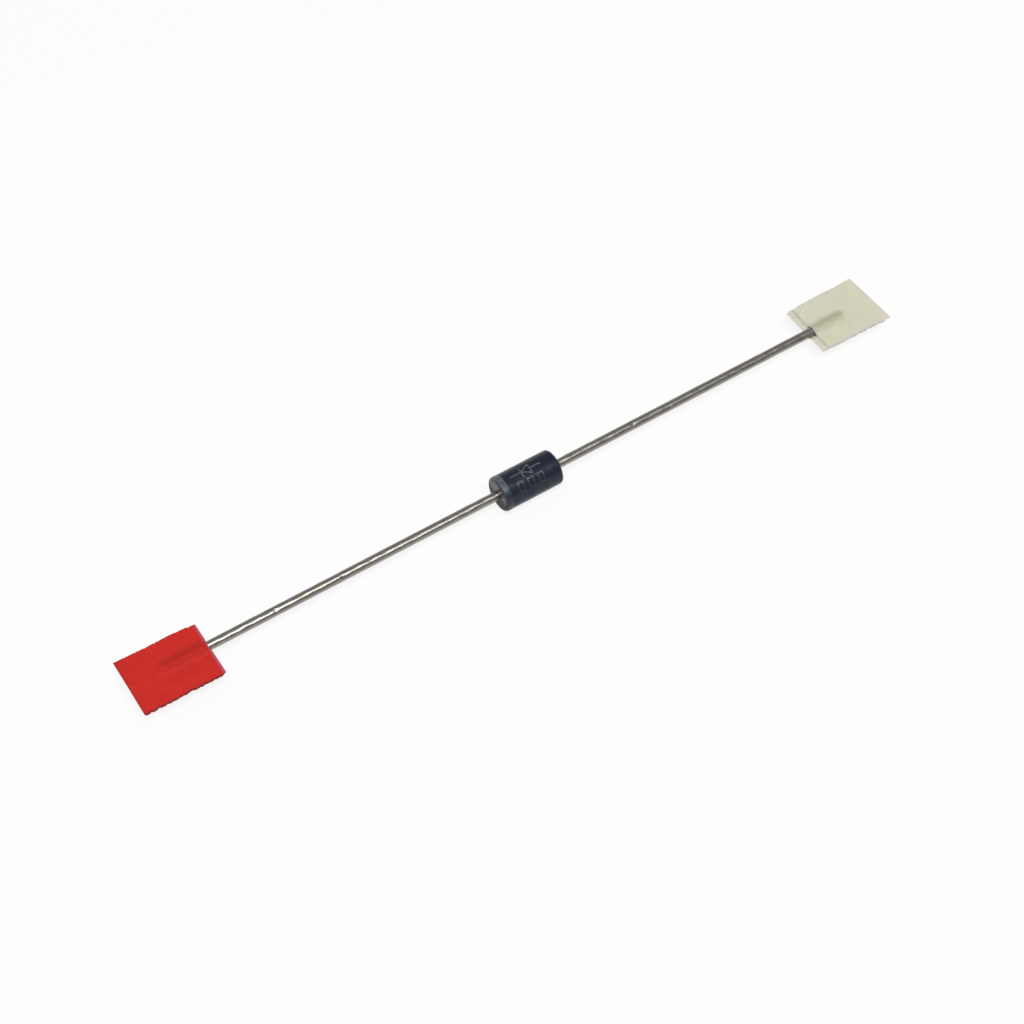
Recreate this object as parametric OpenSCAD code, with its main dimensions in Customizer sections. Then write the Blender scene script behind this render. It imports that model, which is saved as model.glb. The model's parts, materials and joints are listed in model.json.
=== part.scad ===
// Axial rectifier diode, cut from its reel with the two carrier tapes still on the leads.
// The leads run along X: the cathode and the red tape are at -X, the anode and the white tape at +X.
// The origin is the middle of the moulded body, on the axis of the leads, and Z points up.
// All sizes are in millimetres.

/* [Moulded body] */
// Diameter of the body
body_d = 2.72; // [2.2:0.01:3.4]
// Length of the body between its end faces
body_len = 4.9; // [3.6:0.01:6.2]
// Radius of the rounded edge round each end face
edge_r = 0.25; // [0.1:0.01:0.4]
// Height of the line that the two halves of the mould leave along the sides
parting_h = 0.015; // [0.005:0.005:0.04]
// Width of that line
parting_w = 0.06; // [0.03:0.01:0.15]

/* [Polarity band] */
// Distance from the cathode end face to the near edge of the band
band_gap = 0.06; // [0.04:0.01:1]
// Width of the band along the body
band_w = 0.52; // [0.2:0.01:1.5]
// Thickness of the ink
ink_t = 0.025; // [0.01:0.005:0.06]

/* [Leads] */
// Diameter of the lead wire
lead_d = 0.71; // [0.5:0.01:0.9]
// Length of lead that each pair of tapes holds
lead_in_tape = 3.4; // [2.5:0.1:4.5]
// Diameter of the nail head that carries the die
head_d = 1.5; // [1.2:0.05:1.9]
// Thickness of the nail head
head_t = 0.3; // [0.22:0.01:0.4]
// Diameter of the neck where it meets the back of the head
neck_d = 1.05; // [0.95:0.05:1.15]
// Length of the neck, from the back of the head to the plain wire
neck_len = 0.18; // [0.1:0.01:0.3]

/* [Die and solder] */
// Side of the square die
die_w = 1.05; // [0.8:0.01:1.3]
// Thickness of the die
die_t = 0.25; // [0.2:0.01:0.32]
// Side of the mesa on the anode face
mesa_w = 0.84; // [0.6:0.01:0.86]
// Depth of the moat that is etched round the mesa
mesa_h = 0.08; // [0.04:0.01:0.15]
// Diameter of the solder under the die, on the cathode head
cathode_solder_d = 0.96; // [0.7:0.01:1.04]
// Diameter of the solder on the mesa, on the anode head
anode_solder_d = 0.7; // [0.5:0.01:0.83]
// Thickness of each solder joint
solder_t = 0.05; // [0.03:0.01:0.08]
// Thickness of the soft coating over the edge of the nail heads
coat_t = 0.24; // [0.1:0.01:0.3]
// Length of each nail head's edge that the coating covers
coat_lap = 0.2; // [0.1:0.01:0.21]

/* [Carrier tapes] */
// Clear distance between the two pairs of tapes
tape_gap = 51.4; // [40:0.1:64]
// Width of each tape, along the lead
tape_w = 6; // [5:0.1:8]
// Thickness of each tape
tape_t = 0.12; // [0.06:0.01:0.2]
// Radius of the hollow where each tape leaves the lead
drape_r = 0.9; // [0.25:0.01:1.2]

/* [Red tape cut] */
// Length of the inner edge, across the lead
red_inner_len = 4.8; // [4:0.1:6]
// Length of the outer edge
red_outer_len = 4.82; // [4:0.1:6]
// Offset of the middle of the inner edge from the lead
red_inner_y = -0.18; // [-0.8:0.01:0.8]
// Offset of the middle of the outer edge from the lead
red_outer_y = -0.02; // [-0.8:0.01:0.8]
// Distance that the top tape lies further out than the base tape
red_slip = 0.1; // [0:0.01:0.8]

/* [White tape cut] */
// Length of the inner edge, across the lead
white_inner_len = 4.66; // [4:0.1:6]
// Length of the outer edge
white_outer_len = 4.91; // [4:0.1:6]
// Offset of the middle of the inner edge from the lead
white_inner_y = 0.28; // [-0.8:0.01:0.8]
// Offset of the middle of the outer edge from the lead
white_outer_y = 0.29; // [-0.8:0.01:0.8]
// Distance that the top tape lies further out than the base tape
white_slip = 0.55; // [0:0.01:0.8]

/* [Hidden] */
$fn = 96;
eps = 0.01;                                // overrun of a cut past the face that it opens

lead_r = lead_d / 2;
tape_x = tape_gap / 2;                     // inner edge of the base tapes
lead_end = tape_x + lead_in_tape;          // cut end of each lead
head_x = die_t / 2 + solder_t;             // face of each nail head
coat_half = head_x + coat_lap;             // half length of the coating
coat_r = head_d / 2 + coat_t;              // radius of the ball that the coating bulges out to

drape_y = sqrt(lead_r * (lead_r + 2 * drape_r));   // where the hollows of the two tapes meet
over_all = body_d + body_len;              // larger than the body in every direction

module along_x() rotate([0, 90, 0]) children();

// ---- moulded body ----

// A cylinder along X with a rounded edge at each end
module rounded_cylinder(d, len, r)
    along_x() rotate_extrude()
        union() {
            translate([0, -len / 2]) square([d / 2 - r, len]);
            translate([0, r - len / 2]) square([d / 2, len - 2 * r]);
            for (end = [-1, 1])
                translate([d / 2 - r, end * (len / 2 - r)]) circle(r);
        }

// The outer form: the cavity of the mould, with its parting line along both sides
module mould_form()
    union() {
        rounded_cylinder(body_d, body_len, edge_r);
        intersection() {
            rounded_cylinder(body_d + 2 * parting_h, body_len, edge_r);
            cube([over_all, over_all, parting_w], center = true);
        }
    }

// The skin of the body under the ink, between the two edges of the band
module band_ring()
    difference() {
        intersection() {
            mould_form();
            translate([band_gap - body_len / 2, -over_all / 2, -over_all / 2])
                cube([band_w, over_all, over_all]);
        }
        rounded_cylinder(body_d - 2 * ink_t, body_len - 2 * ink_t, edge_r - ink_t);
    }

module moulded_body()
    color([0.11, 0.12, 0.18])
        difference() {
            mould_form();
            band_ring();
            coating_form();
            for (side = [0, 1]) mirror([side, 0, 0]) lead_form();
        }

module polarity_band()
    color([0.60, 0.65, 0.66]) band_ring();

// ---- leads ----

// The anode lead: a nail head against the solder, a neck, and plain wire out to the tape
module lead_form()
    along_x() {
        translate([0, 0, head_x]) cylinder(h = head_t, d = head_d);
        translate([0, 0, head_x + head_t]) cylinder(h = neck_len, d1 = neck_d, d2 = lead_d);
        translate([0, 0, head_x]) cylinder(h = lead_end - head_x, d = lead_d);
    }

module anode_lead()
    color([0.76, 0.74, 0.68]) lead_form();

module cathode_lead()
    color([0.76, 0.74, 0.68]) mirror([1, 0, 0]) lead_form();

// ---- die, solder and coating ----

// The square die lies on the cathode head, with its mesa towards the anode
module die_form() {
    translate([-die_t / 2, -die_w / 2, -die_w / 2])
        cube([die_t - mesa_h, die_w, die_w]);
    translate([-die_t / 2, -mesa_w / 2, -mesa_w / 2])
        cube([die_t, mesa_w, mesa_w]);
}

module solder_joint(d)
    along_x() translate([0, 0, die_t / 2]) cylinder(h = solder_t, d = d);

module silicon_die()
    color([0.33, 0.35, 0.40]) die_form();

module anode_solder()
    color([0.70, 0.71, 0.73]) solder_joint(anode_solder_d);

module cathode_solder()
    color([0.70, 0.71, 0.73]) mirror([1, 0, 0]) solder_joint(cathode_solder_d);

// A barrel of soft coating that fills the gap between the nail heads and laps over their edges
module coating_form()
    intersection() {
        sphere(coat_r);
        cube([2 * coat_half, over_all, over_all], center = true);
    }

module junction_coating()
    color([0.90, 0.90, 0.87])
        difference() {
            coating_form();
            die_form();
            solder_joint(anode_solder_d);
            mirror([1, 0, 0]) solder_joint(cathode_solder_d);
            for (side = [0, 1]) mirror([side, 0, 0]) lead_form();
        }

// ---- carrier tapes ----
// Each pair is drawn on the anode side. The two tapes are stuck together in the plane of the lead's
// axis. Each rises over its half of the lead in a hollow, a ridge and a hollow, and closes past the
// lead's end. The form below is the top tape; the base tape is the same form turned down.

// Point on one of the two straight cuts, at x: side is 1 for the far cut and -1 for the near one.
// cut = [inner_len, outer_len, inner_y, outer_y]
function cut_y(x, side, cut) =
    let (along = (x - tape_x) / tape_w)
    cut[2] + (cut[3] - cut[2]) * along + side * (cut[0] + (cut[1] - cut[0]) * along) / 2;

// The piece of tape between the two cuts, as a tall block that a tape is taken from
module cut_block(slip, cut) {
    x0 = tape_x + slip;
    x1 = x0 + tape_w;
    linear_extrude(over_all)
        polygon([
            [x0, cut_y(x0, -1, cut)], [x1, cut_y(x1, -1, cut)],
            [x1, cut_y(x1, 1, cut)], [x0, cut_y(x0, 1, cut)]
        ]);
}

// Section under one face of the draped tape: t is 0 for its lower face and tape_t for its upper one
module drape_section(t) {
    ridge_share = (lead_r + t) / (lead_r + drape_r);   // where ridge and hollow meet, on their centre line
    intersection() {
        circle(lead_r + t);
        translate([-over_all / 2, 0]) square(over_all);
    }
    difference() {
        polygon([
            [-drape_y, 0], [drape_y, 0], [drape_y, t],
            [drape_y * ridge_share, drape_r * ridge_share],
            [-drape_y * ridge_share, drape_r * ridge_share],
            [-drape_y, t]
        ]);
        for (side = [-1, 1])
            translate([side * drape_y, drape_r]) circle(drape_r - t);
    }
}

// The drape along the lead, closed by a turn of the same section round the lead's end
module drape(t, start) {
    translate([start, 0, 0]) rotate([90, 0, 90])
        linear_extrude(lead_end - start) drape_section(t);
    translate([lead_end, 0, 0]) rotate_extrude()
        intersection() {
            drape_section(t);
            square(over_all);
        }
}

module tape_form(slip, cut)
    intersection() {
        cut_block(slip, cut);
        difference() {
            union() {
                translate([tape_x, -over_all / 2, 0]) cube([2 * tape_w, over_all, tape_t]);
                drape(tape_t, tape_x);
            }
            drape(0, tape_x - eps);
        }
    }

red_cut = [red_inner_len, red_outer_len, red_inner_y, red_outer_y];
white_cut = [white_inner_len, white_outer_len, white_inner_y, white_outer_y];

module red_base_tape()
    color([0.72, 0.20, 0.24]) mirror([1, 0, 0]) mirror([0, 0, 1]) tape_form(0, red_cut);

module red_top_tape()
    color([0.78, 0.20, 0.18]) mirror([1, 0, 0]) tape_form(red_slip, red_cut);

module white_base_tape()
    color([0.84, 0.84, 0.78]) mirror([0, 0, 1]) tape_form(0, white_cut);

module white_top_tape()
    color([0.87, 0.87, 0.79]) tape_form(white_slip, white_cut);

moulded_body();
polarity_band();
cathode_lead();
anode_lead();
silicon_die();
cathode_solder();
anode_solder();
junction_coating();
red_base_tape();
red_top_tape();
white_base_tape();
white_top_tape();
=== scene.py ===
import json
import math

import bmesh
import bpy
import numpy as np
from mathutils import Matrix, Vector


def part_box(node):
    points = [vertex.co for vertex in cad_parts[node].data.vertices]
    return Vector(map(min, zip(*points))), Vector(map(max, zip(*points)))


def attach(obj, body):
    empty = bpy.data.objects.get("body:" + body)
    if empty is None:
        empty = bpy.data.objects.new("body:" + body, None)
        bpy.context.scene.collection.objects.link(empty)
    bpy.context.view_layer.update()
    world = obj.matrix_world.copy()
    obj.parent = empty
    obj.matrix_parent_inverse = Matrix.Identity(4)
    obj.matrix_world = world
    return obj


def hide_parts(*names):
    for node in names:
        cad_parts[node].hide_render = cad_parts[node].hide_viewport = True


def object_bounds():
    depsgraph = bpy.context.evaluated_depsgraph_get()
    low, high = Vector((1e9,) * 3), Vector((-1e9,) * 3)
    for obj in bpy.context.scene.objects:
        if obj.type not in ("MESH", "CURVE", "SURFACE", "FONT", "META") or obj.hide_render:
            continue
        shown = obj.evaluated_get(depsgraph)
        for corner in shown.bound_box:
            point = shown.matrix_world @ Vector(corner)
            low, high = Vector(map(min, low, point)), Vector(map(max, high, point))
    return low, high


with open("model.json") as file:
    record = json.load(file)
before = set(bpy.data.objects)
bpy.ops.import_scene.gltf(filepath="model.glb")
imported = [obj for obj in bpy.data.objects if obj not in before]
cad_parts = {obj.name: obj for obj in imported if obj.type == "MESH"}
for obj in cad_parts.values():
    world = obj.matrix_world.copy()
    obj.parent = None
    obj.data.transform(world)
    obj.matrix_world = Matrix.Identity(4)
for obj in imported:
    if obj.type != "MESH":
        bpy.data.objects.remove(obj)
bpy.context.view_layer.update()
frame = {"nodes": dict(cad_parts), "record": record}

# Axial rectifier diode with its two pairs of carrier tapes. The leads run along X: the cathode and
# the red tapes are at -X, the anode and the white tapes at +X, and Z points up. Lengths are written
# in millimetres here and turned into metres where they are used.

mm = 0.001
mounts = {mount["name"]: mount for mount in frame["record"]["mounts"]}

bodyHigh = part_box("moulded_body")[1]
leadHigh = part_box("anode_lead")[1]
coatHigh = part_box("junction_coating")[1]
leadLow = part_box("anode_lead")[0]

bodyRadius = bodyHigh.z
bodyHalf = bodyHigh.x
partingHeight = bodyHigh.y - bodyHigh.z
wireRadius = mounts["anode_lead_wire"]["dims"]["r_mm"] * mm
leadEnd = leadHigh.x
headFace = leadLow.x
headRadius = leadHigh.z
coatHalf = coatHigh.x
coatRadius = coatHigh.z
print("frame loaded,", len(frame["nodes"]), "nodes")


# Shared shapes

def ripples(a, b, size, seed, waves=18):
    # Smooth noise of about unit height: a sum of sines that run in random directions, with
    # wavelengths from two thirds of size to twice size
    rng = np.random.default_rng(seed)
    turn = rng.uniform(0, 2 * math.pi, waves)
    speed = 2 * math.pi / size * rng.uniform(0.5, 1.5, waves)
    phase = rng.uniform(0, 2 * math.pi, waves)
    total = np.zeros(np.broadcast(a, b).shape)
    for k in range(waves):
        total += np.sin(speed[k] * (a * math.cos(turn[k]) + b * math.sin(turn[k])) + phase[k])
    return total * math.sqrt(2 / waves)


def smoothStep(value, low, high):
    # 0 below low, 1 above high, and an S curve between them
    t = np.clip((value - low) / (high - low), 0, 1)
    return t * t * (3 - 2 * t)


def gridFaces(rows, columns, wrapRows=False, wrapColumns=False):
    # The four corners of each cell of a grid whose points are numbered row by row
    row = np.arange(rows if wrapRows else rows - 1)
    column = np.arange(columns if wrapColumns else columns - 1)
    row, column = np.meshgrid(row, column, indexing="ij")
    nextRow = (row + 1) % rows
    nextColumn = (column + 1) % columns
    corners = [row * columns + column, nextRow * columns + column,
               nextRow * columns + nextColumn, row * columns + nextColumn]
    return np.stack(corners, -1).reshape(-1, 4)


def solidSheet(upper, lower, wrapRows=False):
    # Two grids of the same size, one above the other, joined round their edges to a closed solid
    rows, columns = upper.shape[:2]
    points = np.concatenate([upper.reshape(-1, 3), lower.reshape(-1, 3)])
    number = np.arange(rows * columns).reshape(rows, columns)
    edges = [number[:, 0], number[:, -1]]
    if not wrapRows:
        edges += [number[0], number[-1]]
    strips = []
    for edge in edges:
        closed = wrapRows and len(edge) == rows
        after = np.roll(edge, -1) if closed else edge[1:]
        before = edge if closed else edge[:-1]
        shift = rows * columns
        strips.append(np.stack([before, after, after + shift, before + shift], -1))
    sheet = gridFaces(rows, columns, wrapRows)
    return points, np.concatenate([sheet, sheet + rows * columns] + strips)


def turned(x, radius, angle):
    # The profile (x, radius) carried round the X axis. The angle starts at +Z and turns to -Y
    return np.stack([x + 0 * angle, -radius * np.sin(angle), radius * np.cos(angle)], -1)


def addPiece(name, points, faces, material, slotName, node=None, marks=None, sharp=40):
    mesh = bpy.data.meshes.new(name)
    mesh.vertices.add(len(points))
    mesh.vertices.foreach_set("co", points.astype(np.float32).ravel())
    mesh.loops.add(faces.size)
    mesh.loops.foreach_set("vertex_index", faces.astype(np.int32).ravel())
    mesh.polygons.add(len(faces))
    mesh.polygons.foreach_set("loop_start", np.arange(0, faces.size, 4, dtype=np.int32))
    mesh.update(calc_edges=True)
    for mark, values in (marks or {}).items():
        layer = mesh.attributes.new(mark, "FLOAT", "POINT")
        layer.data.foreach_set("value", values.astype(np.float32).ravel())
    work = bmesh.new()
    work.from_mesh(mesh)
    bmesh.ops.remove_doubles(work, verts=work.verts, dist=1e-8)
    bmesh.ops.recalc_face_normals(work, faces=work.faces)
    work.to_mesh(mesh)
    work.free()
    mesh.polygons.foreach_set("use_smooth", np.ones(len(mesh.polygons), dtype=bool))
    mesh.set_sharp_from_angle(angle=math.radians(sharp))
    mesh.materials.append(material)
    piece = bpy.data.objects.new(name, mesh)
    bpy.context.scene.collection.objects.link(piece)
    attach(piece, "root")
    if node:
        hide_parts(node)
    return piece


# Shared material steps

def newMaterial(name, **constants):
    material = bpy.data.materials.new(name)
    material.use_nodes = True
    tree = material.node_tree
    tree.nodes.clear()
    shader = tree.nodes.new("ShaderNodeBsdfPrincipled")
    output = tree.nodes.new("ShaderNodeOutputMaterial")
    tree.links.new(shader.outputs[0], output.inputs[0])
    for socket, value in constants.items():
        shader.inputs[socket.replace("_", " ")].default_value = value
    return material, tree, shader


def addNode(tree, kind, inputs=None, **settings):
    made = tree.nodes.new("ShaderNode" + kind)
    for key, value in settings.items():
        setattr(made, key, value)
    for key, value in (inputs or {}).items():
        if isinstance(value, bpy.types.NodeSocket):
            tree.links.new(value, made.inputs[key])
        else:
            made.inputs[key].default_value = value
    return made


def place(tree, stretch=(1, 1, 1)):
    # The point on the piece, in metres, with each axis scaled by stretch
    spot = addNode(tree, "TexCoord").outputs["Object"]
    return addNode(tree, "Mapping", {"Vector": spot, "Scale": stretch}).outputs[0]


def noise(tree, size, low=0.0, high=1.0, detail=3.0, stretch=(1, 1, 1), edge=(0.3, 0.7)):
    # Noise with features of about size millimetres, spread from low to high
    made = addNode(tree, "TexNoise", {"Vector": place(tree, stretch), "Scale": 1 / (size * mm),
                                      "Detail": detail})
    spread = addNode(tree, "MapRange", {"Value": made.outputs[0], "From Min": edge[0],
                                        "From Max": edge[1], "To Min": low, "To Max": high})
    return spread.outputs[0]


def blendColour(tree, factor, first, second):
    made = addNode(tree, "Mix", {0: factor, 6: first, 7: second}, data_type="RGBA")
    return made.outputs[2]


def bump(tree, shader, height, depth):
    # Height 0 to 1 stands for a depth in millimetres
    made = addNode(tree, "Bump", {"Height": height, "Distance": depth * mm, "Strength": 1.0})
    tree.links.new(made.outputs[0], shader.inputs["Normal"])


def fade(tree, value, start, stop):
    # 0 up to start and 1 from stop on, both in millimetres. Start may be the larger of the two
    made = addNode(tree, "MapRange", {"Value": value, "From Min": start * mm, "From Max": stop * mm},
                   interpolation_type="SMOOTHSTEP")
    return made.outputs[0]


def addUp(tree, *values):
    total = values[0]
    for value in values[1:]:
        total = addNode(tree, "Math", {0: total, 1: value}, operation="ADD").outputs[0]
    return total


# Finishes

compound = {
    "navy": (0.013, 0.017, 0.038, 1),
    "slate": (0.019, 0.024, 0.034, 1),
    "patchSize": 0.9,
    "grainSize": 0.035,
    "grainDepth": 0.0012,
    "roughSize": 0.25,
    "roughness": (0.21, 0.31),
    "gloss": 0.21,
    "endPlane": (2.36, 2.44),       # the two end faces start between these places
    "endShadeHeights": (-0.15, 0.40),    # they turn from painted shade below to painted light above
    "endPaintedShade": (0.006, 0.008, 0.012, 1),
    "endPaintedLight": (0.058, 0.055, 0.078, 1),
    "endShadedGloss": (0.06, 0.24),
}


def mouldingCompound():
    material, tree, shader = newMaterial("mouldingCompound", IOR=1.5)
    patches = noise(tree, compound["patchSize"])
    skin = blendColour(tree, patches, compound["navy"], compound["slate"])
    # The end faces carry painted light and shade: dark and less glossy below, lighter above
    spots = addNode(tree, "SeparateXYZ", {0: place(tree)})
    along = addNode(tree, "Math", {0: spots.outputs["X"]}, operation="ABSOLUTE").outputs[0]
    onEnd = fade(tree, along, *compound["endPlane"])
    above = fade(tree, spots.outputs["Z"], *compound["endShadeHeights"])
    endColour = blendColour(tree, above, compound["endPaintedShade"], compound["endPaintedLight"])
    tree.links.new(blendColour(tree, onEnd, skin, endColour), shader.inputs["Base Color"])
    levels = (*compound["endShadedGloss"], compound["gloss"])
    low, high, around = ((level, level, level, 1) for level in levels)
    endShadedGloss = blendColour(tree, above, low, high)
    tree.links.new(blendColour(tree, onEnd, around, endShadedGloss), shader.inputs["Specular IOR Level"])
    rough = noise(tree, compound["roughSize"], *compound["roughness"])
    tree.links.new(rough, shader.inputs["Roughness"])
    bump(tree, shader, noise(tree, compound["grainSize"], detail=4), compound["grainDepth"])
    return material


ink = {
    "pale": (0.105, 0.122, 0.130, 1),
    "thin": (0.050, 0.060, 0.072, 1),
    "inkShade": (0.020, 0.025, 0.042, 1),
    "inkShadeSide": (-0.50, -1.10),     # painted shade: the ink darkens towards the -Y side between these places across the body
    "patchSize": 0.16,
    "patchEdge": (0.35, 0.6),
    "roughSize": 0.1,
    "roughness": (0.28, 0.42),
    "gloss": 0.4,
    "skinSize": 0.05,
    "skinDepth": 0.002,
}


def markingInk():
    material, tree, shader = newMaterial("markingInk", IOR=1.5, Specular_IOR_Level=ink["gloss"])
    patches = noise(tree, ink["patchSize"], edge=ink["patchEdge"])
    printed = blendColour(tree, patches, ink["thin"], ink["pale"])
    # Painted shade: the band turns darker towards its -Y side
    across = addNode(tree, "SeparateXYZ", {0: place(tree)}).outputs["Y"]
    inkShade = fade(tree, across, *ink["inkShadeSide"])
    tree.links.new(blendColour(tree, inkShade, printed, ink["inkShade"]), shader.inputs["Base Color"])
    rough = noise(tree, ink["roughSize"], *ink["roughness"])
    tree.links.new(rough, shader.inputs["Roughness"])
    bump(tree, shader, noise(tree, ink["skinSize"]), ink["skinDepth"])
    return material


tin = {
    "bright": (0.345, 0.33, 0.30, 1),
    "dull": (0.31, 0.29, 0.25, 1),
    "drawSize": 0.03,
    "drawStretch": (0.03, 1, 1),
    "drawDepth": 0.0002,
    "grainSize": 0.12,
    "grainDepth": 0.0002,
    "speckSize": 0.22,
    "speckEdge": (0.58, 0.72),
    "roughSize": 0.3,
    "roughness": (0.29, 0.38),
    "flankShade": (0.25, 0.238, 0.21, 1),
    "flankShadeHeights": ((0.03, 0.11), (0.17, 0.24)),   # painted shade: a darker stripe along both upper flanks that stands in for their dark reflections
}


def tinnedWire():
    material, tree, shader = newMaterial("tinnedWire", Metallic=1.0)
    lines = noise(tree, tin["drawSize"], stretch=tin["drawStretch"])
    grain = noise(tree, tin["grainSize"])
    specks = noise(tree, tin["speckSize"], edge=tin["speckEdge"])
    coat = blendColour(tree, specks, tin["bright"], tin["dull"])
    # Painted shade: a darker stripe along both upper flanks of the wire, set by height
    height = addNode(tree, "SeparateXYZ", {0: place(tree)}).outputs["Z"]
    rise, fall = (fade(tree, height, *edges) for edges in tin["flankShadeHeights"])
    flankShade = addNode(tree, "Math", {0: rise, 1: fall}, operation="SUBTRACT").outputs[0]
    tree.links.new(blendColour(tree, flankShade, coat, tin["flankShade"]), shader.inputs["Base Color"])
    rough = noise(tree, tin["roughSize"], *tin["roughness"])
    tree.links.new(rough, shader.inputs["Roughness"])
    ratio = tin["grainDepth"] / tin["drawDepth"]
    share = addNode(tree, "Math", {0: grain, 1: ratio}, operation="MULTIPLY").outputs[0]
    bump(tree, shader, addUp(tree, lines, share), tin["drawDepth"])
    return material


def paper(name, colour, shaded, edgeColour, innerColour, look):
    # Crepe paper: fibres, a fine crepe across the tape, a soft shade where it lies over the lead,
    # and tinted rims
    material, tree, shader = newMaterial(name, IOR=1.45, Subsurface_Weight=look["glow"],
                                         Specular_IOR_Level=look["shine"])
    shader.inputs["Subsurface Radius"].default_value = look["glowReach"]
    shader.inputs["Subsurface Scale"].default_value = look["glowDepth"] * mm
    fibres = noise(tree, look["fibreSize"], stretch=look["fibreStretch"])
    cloud = noise(tree, look["cloudSize"], -1.0, 1.0)
    over = addNode(tree, "Attribute", attribute_name="overLead").outputs["Fac"]
    rim = addNode(tree, "Attribute", attribute_name="cutEdge").outputs["Fac"]
    slit = addNode(tree, "Attribute", attribute_name="innerEdge").outputs["Fac"]
    darker = [c * look["fibreShade"] for c in colour[:3]] + [1]
    mottled = blendColour(tree, fibres, colour, darker)
    change = addNode(tree, "Math", {0: cloud, 1: look["cloudShade"]}, operation="MULTIPLY").outputs[0]
    clouded = addNode(tree, "HueSaturation", {"Color": mottled, "Value": addUp(tree, change, 1.0)})
    covered = blendColour(tree, over, clouded.outputs[0], shaded)
    slitEdge = blendColour(tree, slit, covered, innerColour)
    tree.links.new(blendColour(tree, rim, slitEdge, edgeColour), shader.inputs["Base Color"])
    tree.links.new(noise(tree, look["roughSize"], *look["roughness"]), shader.inputs["Roughness"])
    crepe = noise(tree, look["crepeSize"], stretch=look["crepeStretch"])
    bump(tree, shader, crepe, look["crepeDepth"])
    return material


redLook = {
    "fibreSize": 0.12,
    "fibreStretch": (1, 0.35, 1),
    "fibreShade": 0.90,
    "cloudSize": 0.8,
    "cloudShade": 0.05,
    "crepeSize": 0.10,
    "crepeStretch": (1, 0.25, 1),
    "crepeDepth": 0.005,
    "roughSize": 0.2,
    "roughness": (0.52, 0.68),
    "shine": 0.14,
    "glow": 0.0,
    "glowDepth": 0.1,
    "glowReach": (1, 0.9, 0.7),
}
whiteLook = {
    "fibreSize": 0.14,
    "fibreStretch": (1, 0.4, 1),
    "fibreShade": 0.95,
    "cloudSize": 1.1,
    "cloudShade": 0.02,
    "crepeSize": 0.14,
    "crepeStretch": (1, 0.3, 1),
    "crepeDepth": 0.004,
    "roughSize": 0.2,
    "roughness": (0.48, 0.62),
    "shine": 0.35,
    "glow": 0.5,                # the white paper lets some light through
    "glowDepth": 0.35,
    "glowReach": (1, 0.9, 0.7),
}


def plainFinish(name, first, second, size, roughness, depth, metallic=0.0):
    material, tree, shader = newMaterial(name, Metallic=metallic)
    tree.links.new(blendColour(tree, noise(tree, size), first, second), shader.inputs["Base Color"])
    tree.links.new(noise(tree, size / 2, *roughness), shader.inputs["Roughness"])
    bump(tree, shader, noise(tree, size / 3), depth)
    return material


finishes = {
    "compound": mouldingCompound(),
    "ink": markingInk(),
    "tin": tinnedWire(),
    "redTop": paper("redPaper", (0.60, 0.026, 0.020, 1), (0.47, 0.018, 0.013, 1),
                    (0.26, 0.014, 0.012, 1), (0.52, 0.075, 0.120, 1), redLook),
    "redBase": paper("redBasePaper", (0.42, 0.060, 0.095, 1), (0.34, 0.050, 0.080, 1),
                     (0.26, 0.030, 0.036, 1), (0.52, 0.110, 0.160, 1), redLook),
    "whiteTop": paper("whitePaper", (0.690, 0.685, 0.530, 1), (0.44, 0.43, 0.30, 1),
                      (0.62, 0.605, 0.560, 1), (0.67, 0.66, 0.56, 1), whiteLook),
    "whiteBase": paper("whiteBasePaper", (0.640, 0.630, 0.540, 1), (0.50, 0.46, 0.38, 1),
                       (0.60, 0.590, 0.550, 1), (0.62, 0.61, 0.55, 1), whiteLook),
}
print("finishes made")


# Moulded body

mould = {
    "edgeRadius": 0.25,
    "partingWidth": 0.06,
    "flashChange": 0.25,        # how much the height of the parting line changes along the body
    "flashSize": 0.7,
    "sideFrom": (0.6, 0.8),     # shares of the radius between which the outer skin begins
    "unevenness": 0.0012,
    "unevenSize": 0.9,
    "sideSamples": 110,
    "turnSamples": 360,
    "edgeSamples": 14,
    "coatSamples": 15,
    "lineSamples": 13,
    "lineReach": 0.03,          # half the angle round each parting line that has finer steps
}
nailHead = {
    "thickness": 0.3,
    "neckRadius": 0.525,
    "neckLength": 0.18,
}

headBack = headFace + nailHead["thickness"] * mm
neckEnd = headBack + nailHead["neckLength"] * mm
neckRadius = nailHead["neckRadius"] * mm


def outerRadius(x):
    # The radius of the body at x: plain along the side, and a quarter circle round each end
    edge = mould["edgeRadius"] * mm
    into = np.clip(np.abs(x) - (bodyHalf - edge), 0, edge)
    return bodyRadius - edge + np.sqrt(edge ** 2 - into ** 2)


def bodySkin(x, radius, angle):
    # Adds to the radius the parting line, a low rounded ridge along both sides where |z| is less
    # than half its width, and a slight unevenness of the moulded side
    height = radius * np.cos(angle)
    across = np.clip(1 - (2 * height / (mould["partingWidth"] * mm)) ** 2, 0, 1)
    flash = 1 - mould["flashChange"] * np.abs(ripples(x, angle * mm, mould["flashSize"] * mm, seed=3))
    onSide = smoothStep(radius, *(share * bodyRadius for share in mould["sideFrom"]))
    uneven = ripples(x, angle * bodyRadius, mould["unevenSize"] * mm, seed=5)
    uneven = uneven * mould["unevenness"] * mm
    return radius + onSide * (across * flash * partingHeight + uneven)


def turnAngles():
    # Even steps round the axis, with more of them at the two parting lines
    even = np.linspace(0, 2 * math.pi, mould["turnSamples"], endpoint=False)
    fine = np.linspace(-mould["lineReach"], mould["lineReach"], mould["lineSamples"])
    return np.unique(np.concatenate([even, math.pi / 2 + fine, 1.5 * math.pi + fine]))


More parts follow.
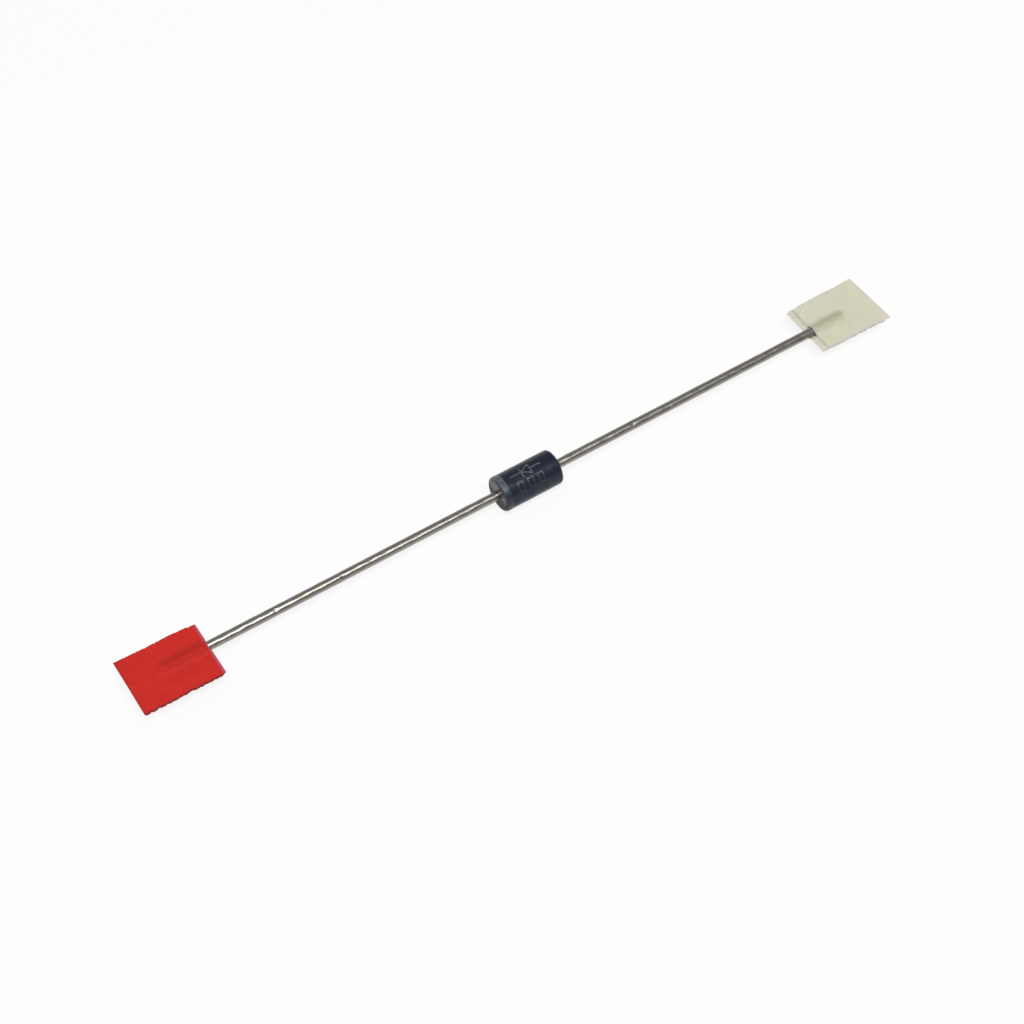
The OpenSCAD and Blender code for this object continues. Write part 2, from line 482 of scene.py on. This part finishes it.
def makeBody():
    # One closed profile turned round the axis: out along the face, round the edge and along the
    # side, and back through the cavity that holds the leads and the coating
    edge = mould["edgeRadius"] * mm
    arc = np.linspace(0, math.pi / 2, mould["edgeSamples"])
    faceR = np.linspace(wireRadius, bodyRadius - edge, mould["edgeSamples"])[:-1]
    sideX = np.linspace(edge - bodyHalf, bodyHalf - edge, mould["sideSamples"])[1:-1]
    leftX = np.concatenate([np.full_like(faceR, -bodyHalf), edge - bodyHalf - edge * np.cos(arc)])
    leftR = np.concatenate([faceR, bodyRadius - edge + edge * np.sin(arc)])
    coatX = np.linspace(coatHalf, -coatHalf, mould["coatSamples"])
    coatR = np.sqrt(coatRadius ** 2 - coatX ** 2)
    cavityX = np.array([neckEnd, headBack, headBack, coatHalf])
    cavityR = np.array([wireRadius, neckRadius, headRadius, headRadius])
    x = np.concatenate([leftX, sideX, -leftX[::-1], cavityX, coatX, -cavityX[::-1]])
    radius = np.concatenate([leftR, np.full_like(sideX, bodyRadius), leftR[::-1],
                             cavityR, coatR, cavityR[::-1]])
    angle = turnAngles()
    x, radius, angle = x[:, None], radius[:, None], angle[None, :]
    points = turned(x, bodySkin(x, radius, angle), angle)
    faces = gridFaces(len(x), angle.size, wrapRows=True, wrapColumns=True)
    return addPiece("mouldedBody", points.reshape(-1, 3), faces, finishes["compound"],
                    "moulding_compound", "moulded_body")


# Ink: polarity band and marks

inkShape = {
    "lift": 0.005,              # height of the ink above the body
    "sink": 0.012,              # depth of its hidden underside
    "rim": 0.03,                # width over which the ink thins out to nothing at its edge
    "rimOutside": 0.3,          # share of the rim by which the ink runs past its edge
    "bandWave": 0.012,          # how far the edges of the band wander
    "bandWaveSizes": (0.5, 0.35),
    "bandSamples": (720, 26),
    "strokeWidth": 0.11,
    "strokeStep": 0.02,
    "strokeSamples": 9,
    "strokeWander": 0.12,       # how much the width of a stroke changes, as a share
    "wanderSize": 0.15,
}


def inkHeight(inward):
    # Height of the ink at a distance inward from its edge: it rises over the rim, then stays level
    rim = inkShape["rim"] * mm
    return inkShape["lift"] * mm * smoothStep(inward, -inkShape["rimOutside"] * rim, rim)


def onBody(x, angle, height):
    radius = bodySkin(x, outerRadius(x), angle) + height
    return turned(x, radius, angle)


def makeBand():
    low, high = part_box("polarity_band")
    rows, columns = inkShape["bandSamples"]
    angle = np.linspace(0, 2 * math.pi, rows, endpoint=False)[:, None]
    across = np.linspace(0, 1, columns)[None, :]
    around = (np.cos(angle) * bodyRadius, np.sin(angle) * bodyRadius)
    wave = inkShape["bandWave"] * mm
    first, second = inkShape["bandWaveSizes"]
    start = low.x + wave * (1 + 0.5 * ripples(*around, first * mm, seed=11))
    stop = high.x - wave * (1 + 0.5 * ripples(*around, second * mm, seed=12))
    x = start + (stop - start) * across
    inward = np.minimum(x - start, stop - x)
    upper = onBody(x, angle, inkHeight(inward))
    lower = onBody(x, angle, -inkShape["sink"] * mm + 0 * x)
    return addPiece("polarityBand", *solidSheet(upper, lower, wrapRows=True), finishes["ink"],
                    "marking_ink", "polarity_band", sharp=80)


def inkStroke(start, stop, seed):
    # A stroke of ink from start to stop, both (x, arc) in millimetres, where arc is measured round
    # the body from +Z to -Y. Its ends are round and its edges wander a little
    start, stop = np.array(start) * mm, np.array(stop) * mm
    length = math.dist(start, stop)
    along = (stop - start) / length
    half = inkShape["strokeWidth"] / 2 * mm
    rows = max(12, int(length / (inkShape["strokeStep"] * mm)))
    s = np.linspace(-half, length + half, rows)[:, None]
    past = np.clip(np.maximum(-s, s - length), 0, half * 0.98)
    wander = inkShape["strokeWander"] * ripples(s, 0 * s, inkShape["wanderSize"] * mm, seed)
    reach = np.sqrt(half ** 2 - past ** 2) * (1 + wander)
    t = np.linspace(-1, 1, inkShape["strokeSamples"])[None, :] * reach
    x = start[0] + along[0] * s - along[1] * t
    angle = (start[1] + along[1] * s + along[0] * t) / bodyRadius
    upper = onBody(x, angle, inkHeight(reach - np.abs(t)))
    lower = onBody(x, angle, -inkShape["sink"] * mm + 0 * x)
    return solidSheet(upper, lower)


marks = {
    "symbolCentre": (-0.10, 0.02),
    "symbolHalf": 0.40,         # half the height of the triangle and the bar
    "symbolReach": 1.20,        # how far the two lines of the symbol reach from its centre
    "symbolSlim": 0.9,          # half length of the triangle over half its height
    "boxCentres": (-0.95, -0.10, 0.75),
    "boxArc": 1.02,
    "boxHalf": (0.21, 0.34),
}


def symbolStrokes():
    # The common symbol of a diode, its bar towards the band
    x, arc = marks["symbolCentre"]
    half, reach = marks["symbolHalf"], marks["symbolReach"]
    tip, back = x - marks["symbolSlim"] * half, x + marks["symbolSlim"] * half
    return [
        ((x - reach, arc), (tip, arc)), ((back, arc), (x + reach, arc)),
        ((tip, arc - half), (tip, arc + half)), ((back, arc - half), (back, arc + half)),
        ((tip, arc), (back, arc - half)), ((tip, arc), (back, arc + half)),
    ]


def boxStrokes():
    # A row of plain empty boxes
    strokes = []
    wide, tall = marks["boxHalf"]
    for x in marks["boxCentres"]:
        corners = [(x - wide, marks["boxArc"] - tall), (x + wide, marks["boxArc"] - tall),
                   (x + wide, marks["boxArc"] + tall), (x - wide, marks["boxArc"] + tall)]
        strokes += [(corners[k], corners[(k + 1) % 4]) for k in range(4)]
    return strokes


def makeMarks():
    points, faces, count = [], [], 0
    for seed, (start, stop) in enumerate(symbolStrokes() + boxStrokes()):
        strokePoints, strokeFaces = inkStroke(start, stop, seed + 20)
        points.append(strokePoints)
        faces.append(strokeFaces + count)
        count += len(strokePoints)
    return addPiece("printedMarks", np.concatenate(points), np.concatenate(faces), finishes["ink"],
                    "marking_ink", sharp=80)


makeBody()
makeBand()
makeMarks()
print("body, band and marks made")


# Leads

wire = {
    "lumps": 0.0035,            # unevenness of the tin coat
    "lumpSize": 1.3,
    "bareStart": 0.3,           # the lumps start over this length past the body
    "bareStop": 25,             # and fade out from here to the end in the tape
    # Small nicks: place along the lead, angle and depth
    "nicks": [(-20.6, 0.5, 0.030), (-15.4, 0.9, 0.026), (9.3, 0.2, 0.028), (19.2, 1.1, 0.022)],
    "nickSize": 0.16,
    "endBevel": 0.05,
    "samples": 620,
    "turnSamples": 88,
}


def makeLead(side, name, node):
    # A nail head, a neck and plain wire as one profile turned round the axis. side is -1 for the
    # cathode lead and 1 for the anode lead
    bevel = wire["endBevel"] * mm
    plainX = np.linspace(neckEnd, leadEnd - bevel, wire["samples"])
    x = np.concatenate([[headFace] * 5, [headBack] * 4, plainX, [leadEnd] * 4])
    radius = np.concatenate([np.linspace(0, headRadius, 5), np.linspace(headRadius, neckRadius, 4),
                             np.full_like(plainX, wireRadius), np.linspace(wireRadius - bevel, 0, 4)])
    angle = np.linspace(0, 2 * math.pi, wire["turnSamples"], endpoint=False)[None, :]
    x, radius = x[:, None] * side, radius[:, None]
    out = np.abs(x)
    bare = (smoothStep(out, bodyHalf, bodyHalf + wire["bareStart"] * mm)
            * smoothStep(-out, -leadEnd, -wire["bareStop"] * mm))
    lumps = ripples(x, angle * wireRadius * 3, wire["lumpSize"] * mm, seed=31 + side)
    change = wire["lumps"] * mm * (lumps - 1) * bare
    for spot, turn, depth in wire["nicks"]:
        offAngle = np.angle(np.exp(1j * (angle - turn)))
        away = np.hypot(x - spot * mm, wireRadius * offAngle)
        change = change - depth * mm * np.exp(-(away / (wire["nickSize"] * mm)) ** 2)
    points = turned(x, radius * (1 + change / wireRadius), angle)
    faces = gridFaces(len(x), angle.size, wrapColumns=True)
    return addPiece(name, points.reshape(-1, 3), faces, finishes["tin"], "tinned_lead", node)


makeLead(-1, "cathodeLead", "cathode_lead")
makeLead(1, "anodeLead", "anode_lead")
print("leads made")


# Carrier tapes

tape = {
    "hollowRadius": 0.9,
    "buckle": 0.02,             # slow waves of each stuck pair
    "buckleSize": 5,
    "buckleFrom": (0.35, 1.4),  # distances from the lead between which they begin
    "pucker": 0.004,            # small folds beside the ridge over the lead
    "puckerSize": 2,
    "puckerPlace": (0.95, 0.35),    # how far from the lead they are highest, and their reach
    "cutWave": 0.035,           # hand-cut edges: slow waves
    "cutWaveSize": 1.6,
    "cutJag": 0.022,            # and small steps
    "cutJagSize": 0.35,
    "shadeReach": 0.42,         # the shade over the lead: its width
    "shadeEnd": 0.3,            # and how softly it ends at the lead's end
    "slitRim": 0.14,            # width of the paler line along the inner edge
    "thinEdge": (0.12, 0.3),    # share of the thickness left at that edge, and how far it thins
    "samples": (176, 200),
}
# Lengths of the inner and outer edges, how far their middles lie off the lead, how much the near
# and far ends of the outer edge fall short, and the tinted rims along the cuts and the outer edge
cuts = {
    "red": {"inner": 4.64, "outer": 4.80, "innerY": -0.24, "outerY": -0.14, "seed": 40,
            "short": (0.02, 0.02), "rim": 0.05, "outerRim": 0.14, "outerTint": 0.6},
    "white": {"inner": 4.66, "outer": 4.86, "innerY": 0.28, "outerY": 0.27, "seed": 60,
              "short": (0.07, 0.20), "rim": 0.22, "outerRim": 1.0, "outerTint": 0.9},
}


def drape(x, y, depth):
    # Height of one face of a tape over the middle plane. depth is 0 for the face on the lead and
    # the thickness there for the outer one. Across the lead it is a ridge, a hollow and the flat,
    # and past the lead's end the same section is turned round that end
    hollow = tape["hollowRadius"] * mm
    meet = math.sqrt(wireRadius * (wireRadius + 2 * hollow))
    away = np.hypot(np.maximum(x - leadEnd, 0), y)
    share = (wireRadius + depth) / (wireRadius + hollow)
    ridge = np.sqrt(np.clip((wireRadius + depth) ** 2 - away ** 2, 0, None))
    into = np.clip(meet - away, 0, hollow - depth)
    side = hollow - np.sqrt(np.clip((hollow - depth) ** 2 - into ** 2, 0, None))
    return np.where(away < meet * share, ridge, np.where(away < meet, side, depth))


def cutLine(x, share, cut, inner, outer):
    # Place across the lead at a share of the way from the near cut (0) to the far one (1)
    along = (x - inner) / (outer - inner)
    middle = cut["innerY"] + (cut["outerY"] - cut["innerY"]) * along
    length = cut["inner"] + (cut["outer"] - cut["inner"]) * along
    seed = cut["seed"]
    wander = [tape["cutWave"] * ripples(x, 0 * x, tape["cutWaveSize"] * mm, seed + k, 9)
              + tape["cutJag"] * ripples(x, 0 * x, tape["cutJagSize"] * mm, seed + k + 2, 9)
              for k in (0, 1)]
    near = middle - length / 2 + np.abs(wander[0])
    far = middle + length / 2 - np.abs(wander[1])
    return (near + (far - near) * share) * mm


def makeTape(name, node, colour, side, up, finish, slotName):
    # side is -1 for the red pair and 1 for the white one, up is 1 for a top tape and -1 for a base
    low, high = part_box(node)
    thickness = max(high.z, -low.z) - wireRadius
    inner, outer = sorted((abs(low.x), abs(high.x)))
    pairInner = min(abs(corner.x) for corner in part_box(node.replace("top", "base")))
    rows, columns = tape["samples"]
    x = np.linspace(inner, outer, rows)[:, None]
    # The samples stand closer together over the lead
    t = np.linspace(-1, 1, columns)[None, :]
    share = 0.5 + 0.5 * (0.45 * t + 0.55 * t ** 3)
    cut = cuts[colour]
    y = cutLine(x, share, cut, pairInner, pairInner + outer - inner)
    away = np.hypot(np.maximum(x - leadEnd, 0), y)
    free = smoothStep(away, *(distance * mm for distance in tape["buckleFrom"]))
    seed = cut["seed"]
    buckle = tape["buckle"] * mm * ripples(x, y, tape["buckleSize"] * mm, seed + 5, 8) * free
    crest, spread = (distance * mm for distance in tape["puckerPlace"])
    near = np.exp(-((away - crest) / spread) ** 2)
    folds = ripples(x * 3, y * 0.8, tape["puckerSize"] * mm, seed + 6 + up)
    pucker = tape["pucker"] * mm * folds * near
    left, reach = tape["thinEdge"]
    depth = thickness * (left + (1 - left) * smoothStep(x - inner, 0, reach * mm))
    faceOut = up * (drape(x, y, depth) + pucker) + buckle
    faceIn = up * drape(x, y, 0) + buckle
    nearShort, farShort = cut["short"]
    x = x - (nearShort + (farShort - nearShort) * share) * mm * (x - inner) / (outer - inner)
    upper = np.stack([side * x, y, faceOut], -1)
    lower = np.stack([side * x, y, faceIn], -1)
    fadeEnd = tape["shadeEnd"] * mm
    overLead = (np.exp(-(away / (tape["shadeReach"] * mm)) ** 2)
                * smoothStep(-x, -leadEnd - fadeEnd, fadeEnd - leadEnd))
    rim = 1 - smoothStep(np.minimum(y - y[:, :1], y[:, -1:] - y), 0.0, cut["rim"] * mm)
    atOuter = smoothStep(x, outer - cut["outerRim"] * mm, outer)
    rim = np.maximum(rim, cut["outerTint"] * atOuter)
    slit = 1 - smoothStep(x - inner, 0.4 * tape["slitRim"] * mm, tape["slitRim"] * mm)
    marksHere = {key: np.concatenate([values.ravel()] * 2) for key, values in
                 (("overLead", overLead), ("cutEdge", rim), ("innerEdge", slit))}
    return addPiece(name, *solidSheet(upper, lower), finish, slotName, node, marksHere, sharp=50)


makeTape("redTopTape", "red_top_tape", "red", -1, 1, finishes["redTop"], "red_paper")
makeTape("redBaseTape", "red_base_tape", "red", -1, -1, finishes["redBase"], "red_base_paper")
makeTape("whiteTopTape", "white_top_tape", "white", 1, 1, finishes["whiteTop"], "white_paper")
makeTape("whiteBaseTape", "white_base_tape", "white", 1, -1, finishes["whiteBase"], "white_base_paper")
print("tapes made")


# Hidden parts inside the body

inside = {
    "silicon_die": plainFinish("silicon", (0.10, 0.11, 0.14, 1), (0.16, 0.17, 0.20, 1),
                               0.2, (0.15, 0.25), 0.001, metallic=0.6),
    "cathode_solder": plainFinish("solder", (0.52, 0.53, 0.55, 1), (0.38, 0.39, 0.41, 1),
                                  0.08, (0.30, 0.45), 0.004, metallic=1.0),
    "junction_coating": plainFinish("siliconeCoating", (0.80, 0.80, 0.77, 1), (0.70, 0.70, 0.66, 1),
                                    0.3, (0.35, 0.50), 0.003),
}
inside["anode_solder"] = inside["cathode_solder"]
for nodeName, finish in inside.items():
    mesh = frame["nodes"][nodeName].data
    mesh.materials.clear()
    mesh.materials.append(finish)
print("inner parts finished")


# Floor, light and camera

studio = {
    "floorHalf": 600,
    "floorColour": (0.90, 0.90, 0.90, 1),
    "floorGrain": (0.91, 0.91, 0.91, 1),
    "floorGrainSize": 40,
    "floorGlow": 0.85,          # share of plain white that the floor shows in views and reflections
    "lampPlace": (-58, -190, 540),
    "lampSize": (430, 190),
    "lampRadiance": 10.5,
    "lampColour": (1.0, 0.985, 0.95),
}


def makeFloor():
    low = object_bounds()[0].z - 0.002 * mm
    half = studio["floorHalf"] * mm
    line = np.linspace(-half, half, 9)
    x, y = np.meshgrid(line, line, indexing="ij")
    mesh = bpy.data.meshes.new("floor")
    points = np.stack([x, y, np.full_like(x, low)], -1).reshape(-1, 3)
    mesh.from_pydata(points.tolist(), [], gridFaces(9, 9).tolist())
    floor = bpy.data.objects.new("floor", mesh)
    bpy.context.scene.collection.objects.link(floor)
    material = bpy.data.materials.new("floorPaper")
    material.use_nodes = True
    tree = material.node_tree
    tree.nodes.clear()
    grain = blendColour(tree, noise(tree, studio["floorGrainSize"]), studio["floorColour"],
                        studio["floorGrain"])
    matt = addNode(tree, "BsdfDiffuse", {"Color": grain})
    glow = addNode(tree, "Emission", {"Strength": 1.0})
    path = addNode(tree, "LightPath").outputs
    seen = addUp(tree, path["Is Camera Ray"], path["Is Glossy Ray"], path["Is Transmission Ray"])
    share = addNode(tree, "Math", {0: seen, 1: studio["floorGlow"]}, operation="MULTIPLY",
                    use_clamp=True).outputs[0]
    mixed = addNode(tree, "MixShader", {0: share, 1: matt.outputs[0], 2: glow.outputs[0]})
    output = addNode(tree, "OutputMaterial")
    tree.links.new(mixed.outputs[0], output.inputs[0])
    mesh.materials.append(material)


def ramp(tree, factor, stops):
    made = addNode(tree, "ValToRGB", {0: factor})
    made.color_ramp.interpolation = "EASE"
    points = made.color_ramp.elements
    for k, (spot, level) in enumerate(stops):
        point = points[k] if k < 2 else points.new(spot)
        point.position = spot
        point.color = (level, level, level, 1)
    return made.outputs[0]


room = {
    "farFrom": (-0.2, 0.3),     # how far back a direction points where near turns to far
    "near": ((0.0, 0.9), (0.53, 0.9), (0.56, 0.20), (0.70, 0.16), (0.90, 0.30), (1.0, 0.40)),
    "far": ((0.0, 0.9), (0.53, 0.9), (0.58, 0.50), (0.74, 0.42), (0.84, 0.28), (1.0, 0.35)),
}


def makeRoom():
    # A room round the floor, by direction: pale below the horizon and dim above it, darkest just
    # above the horizon on the near side
    world = bpy.data.worlds.new("room")
    bpy.context.scene.world = world
    world.use_nodes = True
    tree = world.node_tree
    tree.nodes.clear()
    way = addNode(tree, "SeparateXYZ", {0: addNode(tree, "TexCoord").outputs["Generated"]})
    height = addNode(tree, "MapRange", {"Value": way.outputs["Z"], "From Min": -1.0}).outputs[0]
    low, high = room["farFrom"]
    behind = addNode(tree, "MapRange", {"Value": way.outputs["Y"], "From Min": low, "From Max": high},
                     interpolation_type="SMOOTHSTEP").outputs[0]
    near, far = ramp(tree, height, room["near"]), ramp(tree, height, room["far"])
    colour = blendColour(tree, behind, near, far)
    light = addNode(tree, "Background", {"Color": colour, "Strength": 1.0})
    output = addNode(tree, "OutputWorld")
    tree.links.new(light.outputs[0], output.inputs[0])


def makeLamp():
    lamp = bpy.data.lights.new("softLamp", "AREA")
    lamp.shape = "RECTANGLE"
    lamp.size, lamp.size_y = (side * mm for side in studio["lampSize"])
    lamp.energy = studio["lampRadiance"] * math.pi * lamp.size * lamp.size_y
    lamp.color = studio["lampColour"]
    holder = bpy.data.objects.new("softLamp", lamp)
    holder.location = Vector(studio["lampPlace"]) * mm
    holder.rotation_euler = holder.location.to_track_quat("Z", "Y").to_euler()
    bpy.context.scene.collection.objects.link(holder)


shot = {
    "place": (-45.28, -67.78, 108.11),
    "aim": (-2.377, -1.804, 0.0),
    "lens": 65.93,
    "sensor": 36,
}


def makeCamera():
    camera = bpy.data.cameras.new("camera")
    camera.lens = shot["lens"]
    camera.sensor_width = shot["sensor"]
    camera.clip_start = 0.005
    camera.clip_end = 10
    holder = bpy.data.objects.new("camera", camera)
    holder.location = Vector(shot["place"]) * mm
    ahead = Vector(shot["aim"]) - Vector(shot["place"])
    holder.rotation_euler = ahead.to_track_quat("-Z", "Y").to_euler()
    bpy.context.scene.collection.objects.link(holder)
    bpy.context.scene.camera = holder


makeFloor()
makeRoom()
makeLamp()
makeCamera()
bpy.context.scene.view_settings.view_transform = "Standard"
print("floor, light and camera made")
